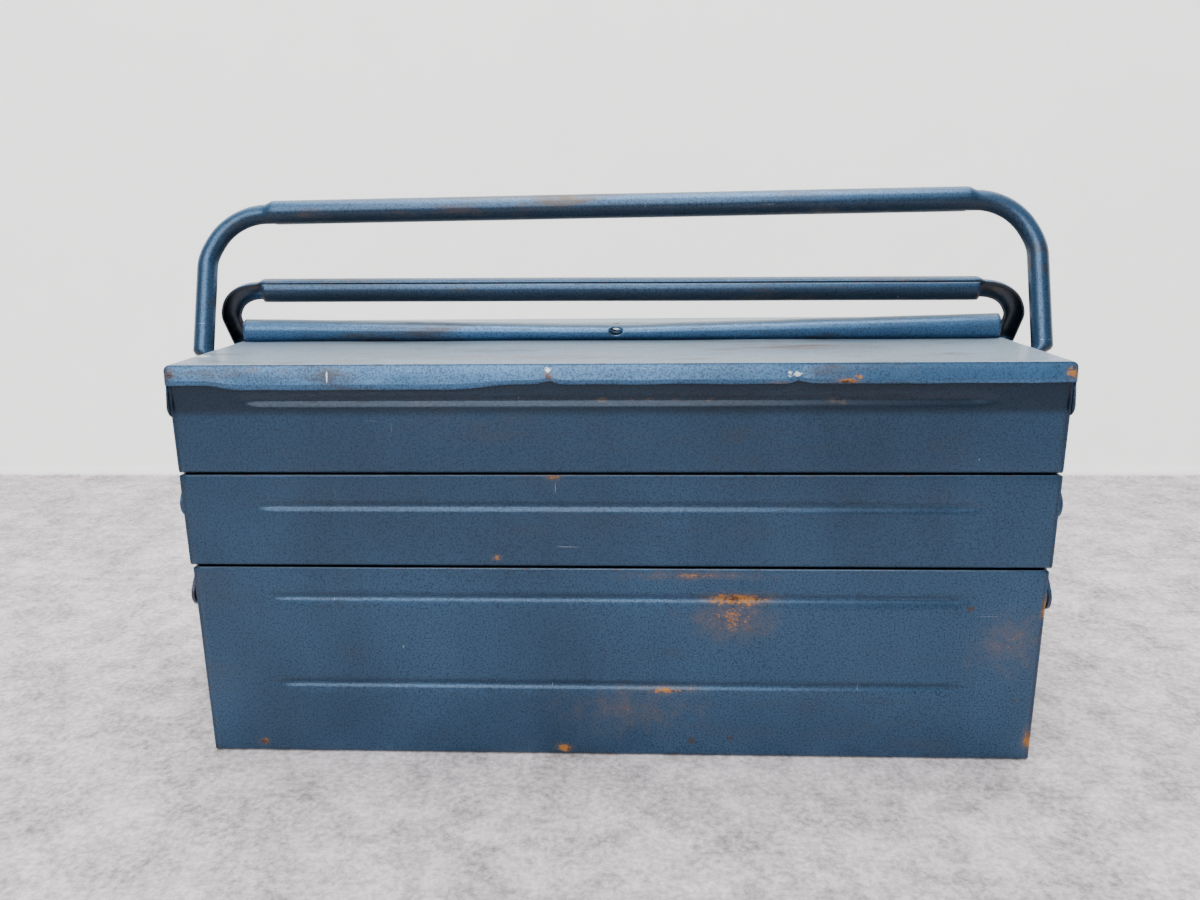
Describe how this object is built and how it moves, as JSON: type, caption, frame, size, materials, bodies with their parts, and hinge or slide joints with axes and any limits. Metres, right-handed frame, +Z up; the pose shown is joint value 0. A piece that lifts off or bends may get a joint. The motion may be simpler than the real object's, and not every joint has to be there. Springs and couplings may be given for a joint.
{
  "type": "cantilever toolbox",
  "caption": "Folded-steel cantilever toolbox: deep base, stepped trays that swing out on arms to each side, hinged lids and pressed carrying handles.",
  "frame": {"origin": "middle of the base's underside", "axes": "+X along the box to its right-hand end, -Y out of the front, +Z up"},
  "size_m": [0.469, 0.2048, 0.2889],
  "materials": {
    "blue_paint": "hammertone, worn",
    "rivet_steel": "dull",
    "washer_steel": "dull"
  },
  "bodies": {
    "base": {"base_arm_rivets": "rivet_steel", "base_arm_spacers": "washer_steel", "base_end_left": "blue_paint", "base_end_right": "blue_paint", "base_tray": "blue_paint"},
    "front_long_arms": {"front_long_arm_left": "blue_paint", "front_long_arm_right": "blue_paint"},
    "front_lower_short_arms": {"front_lower_short_arm_left": "blue_paint", "front_lower_short_arm_right": "blue_paint"},
    "front_middle_tray_body": {"front_middle_tray": "blue_paint", "front_middle_tray_end_left": "blue_paint", "front_middle_tray_end_right": "blue_paint", "front_middle_tray_arm_rivets": "rivet_steel", "front_middle_tray_arm_washers": "washer_steel"},
    "front_upper_short_arms": {"front_upper_short_arm_left": "blue_paint", "front_upper_short_arm_right": "blue_paint"},
    "front_upper_tray_body": {"front_upper_tray": "blue_paint", "front_upper_tray_end_left": "blue_paint", "front_upper_tray_end_right": "blue_paint", "front_upper_tray_arm_rivets": "rivet_steel", "front_upper_tray_arm_washers": "washer_steel", "front_lid_rivets": "rivet_steel", "front_handle_rivets": "rivet_steel", "front_handle_spacers": "washer_steel"},
    "front_lid_body": {"front_lid": "blue_paint"},
    "front_handle_body": {"front_handle": "blue_paint"},
    "rear_long_arms": {"rear_long_arm_left": "blue_paint", "rear_long_arm_right": "blue_paint"},
    "rear_lower_short_arms": {"rear_lower_short_arm_left": "blue_paint", "rear_lower_short_arm_right": "blue_paint"},
    "rear_middle_tray_body": {"rear_middle_tray": "blue_paint", "rear_middle_tray_end_left": "blue_paint", "rear_middle_tray_end_right": "blue_paint", "rear_middle_tray_arm_rivets": "rivet_steel", "rear_middle_tray_arm_washers": "washer_steel"},
    "rear_upper_short_arms": {"rear_upper_short_arm_left": "blue_paint", "rear_upper_short_arm_right": "blue_paint"},
    "rear_upper_tray_body": {"rear_upper_tray": "blue_paint", "rear_upper_tray_end_left": "blue_paint", "rear_upper_tray_end_right": "blue_paint", "rear_upper_tray_arm_rivets": "rivet_steel", "rear_upper_tray_arm_washers": "washer_steel", "rear_lid_rivets": "rivet_steel", "rear_handle_rivets": "rivet_steel", "rear_handle_spacers": "washer_steel"},
    "rear_lid_body": {"rear_lid": "blue_paint"},
    "rear_handle_body": {"rear_handle": "blue_paint"}
  },
  "joints": [
    {"name": "front_half_opens", "type": "hinge", "parent": "base", "child": "front_long_arms", "pos_m": [0, -0.091, 0.088], "axis": [1, 0, 0], "range_deg": [0, 80.5]},
    {"name": "front_middle_tray_on_long_arms", "type": "hinge", "parent": "front_long_arms", "child": "front_middle_tray_body", "pos_m": [0, -0.05, 0.1364], "axis": [1, 0, 0], "range_deg": [-80.5, 0]},
    {"name": "front_upper_tray_on_long_arms", "type": "hinge", "parent": "front_long_arms", "child": "front_upper_tray_body", "pos_m": [0, -0.009, 0.1848], "axis": [1, 0, 0], "range_deg": [-80.5, 0]},
    {"name": "front_lower_short_arms_on_base", "type": "hinge", "parent": "base", "child": "front_lower_short_arms", "pos_m": [0, -0.05, 0.088], "axis": [1, 0, 0], "range_deg": [0, 80.5]},
    {"name": "front_upper_short_arms_on_middle_tray", "type": "hinge", "parent": "front_middle_tray_body", "child": "front_upper_short_arms", "pos_m": [0, -0.091, 0.1364], "axis": [1, 0, 0], "range_deg": [0, 80.5]},
    {"name": "front_lid_opens", "type": "hinge", "parent": "front_upper_tray_body", "child": "front_lid_body", "pos_m": [0, -0.095, 0.187], "axis": [1, 0, 0], "range_deg": [0, 100]},
    {"name": "front_handle_swings", "type": "hinge", "parent": "front_upper_tray_body", "child": "front_handle_body", "pos_m": [0, -0.034, 0.188], "axis": [1, 0, 0], "range_deg": [0, 145]},
    {"name": "rear_half_opens", "type": "hinge", "parent": "base", "child": "rear_long_arms", "pos_m": [0, 0.091, 0.088], "axis": [-1, 0, 0], "range_deg": [0, 80.5]},
    {"name": "rear_middle_tray_on_long_arms", "type": "hinge", "parent": "rear_long_arms", "child": "rear_middle_tray_body", "pos_m": [0, 0.05, 0.1364], "axis": [-1, 0, 0], "range_deg": [-80.5, 0]},
    {"name": "rear_upper_tray_on_long_arms", "type": "hinge", "parent": "rear_long_arms", "child": "rear_upper_tray_body", "pos_m": [0, 0.009, 0.1848], "axis": [-1, 0, 0], "range_deg": [-80.5, 0]},
    {"name": "rear_lower_short_arms_on_base", "type": "hinge", "parent": "base", "child": "rear_lower_short_arms", "pos_m": [0, 0.05, 0.088], "axis": [-1, 0, 0], "range_deg": [0, 80.5]},
    {"name": "rear_upper_short_arms_on_middle_tray", "type": "hinge", "parent": "rear_middle_tray_body", "child": "rear_upper_short_arms", "pos_m": [0, 0.091, 0.1364], "axis": [-1, 0, 0], "range_deg": [0, 80.5]},
    {"name": "rear_lid_opens", "type": "hinge", "parent": "rear_upper_tray_body", "child": "rear_lid_body", "pos_m": [0, 0.095, 0.187], "axis": [-1, 0, 0], "range_deg": [0, 100]},
    {"name": "rear_handle_swings", "type": "hinge", "parent": "rear_upper_tray_body", "child": "rear_handle_body", "pos_m": [0, 0.034, 0.188], "axis": [-1, 0, 0], "range_deg": [0, 96]}
  ],
  "couplings": [
    {"joint": "front_middle_tray_on_long_arms", "follows": "front_half_opens", "ratio": -1},
    {"joint": "front_upper_tray_on_long_arms", "follows": "front_half_opens", "ratio": -1},
    {"joint": "front_lower_short_arms_on_base", "follows": "front_half_opens", "ratio": 1},
    {"joint": "front_upper_short_arms_on_middle_tray", "follows": "front_half_opens", "ratio": 1},
    {"joint": "rear_middle_tray_on_long_arms", "follows": "rear_half_opens", "ratio": -1},
    {"joint": "rear_upper_tray_on_long_arms", "follows": "rear_half_opens", "ratio": -1},
    {"joint": "rear_lower_short_arms_on_base", "follows": "rear_half_opens", "ratio": 1},
    {"joint": "rear_upper_short_arms_on_middle_tray", "follows": "rear_half_opens", "ratio": 1}
  ]
}
